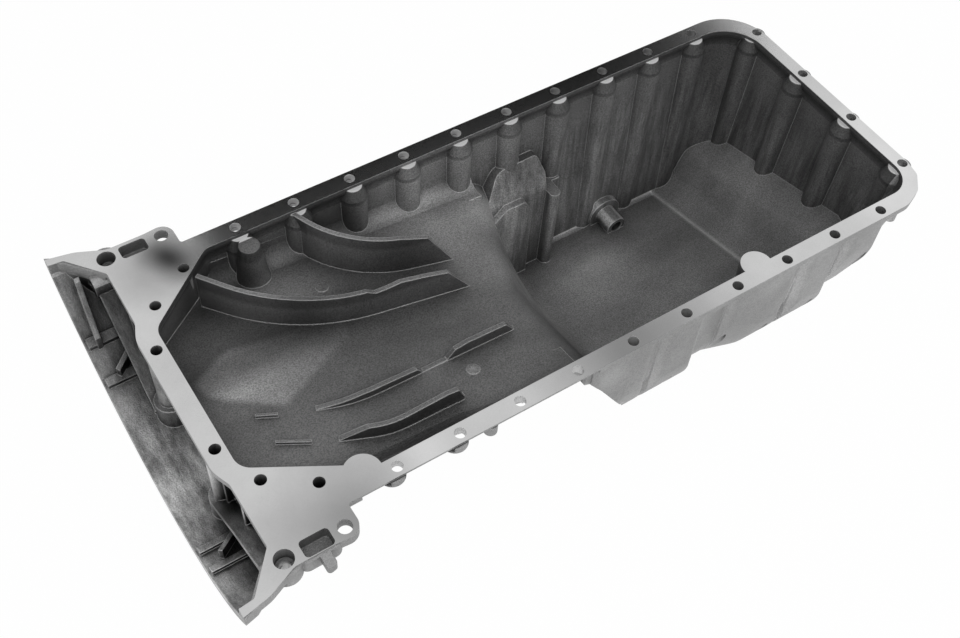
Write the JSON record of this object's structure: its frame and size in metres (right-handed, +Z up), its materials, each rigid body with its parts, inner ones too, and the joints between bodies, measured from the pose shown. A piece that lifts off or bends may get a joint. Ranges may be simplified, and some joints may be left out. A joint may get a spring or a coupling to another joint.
{
  "type": "engine oil pan",
  "caption": "Cast engine oil pan with a bolting flange, a shallow baffled trough, a deep sump and the lower half of a bell flange.",
  "frame": {"origin": "middle of the two rows of rail bolts, on the gasket face", "axes": "+X along the engine from the bell flange to the deep sump, +Y across the engine to the deeper side of the sump, +Z up out of the pan"},
  "size_m": [0.626, 0.322, 0.1921],
  "materials": {
    "cast_light_alloy": "as cast, grainy, with machined flange faces"
  },
  "bodies": {
    "root": {"oil_pan_casting": "cast_light_alloy"}
  },
  "joints": []
}
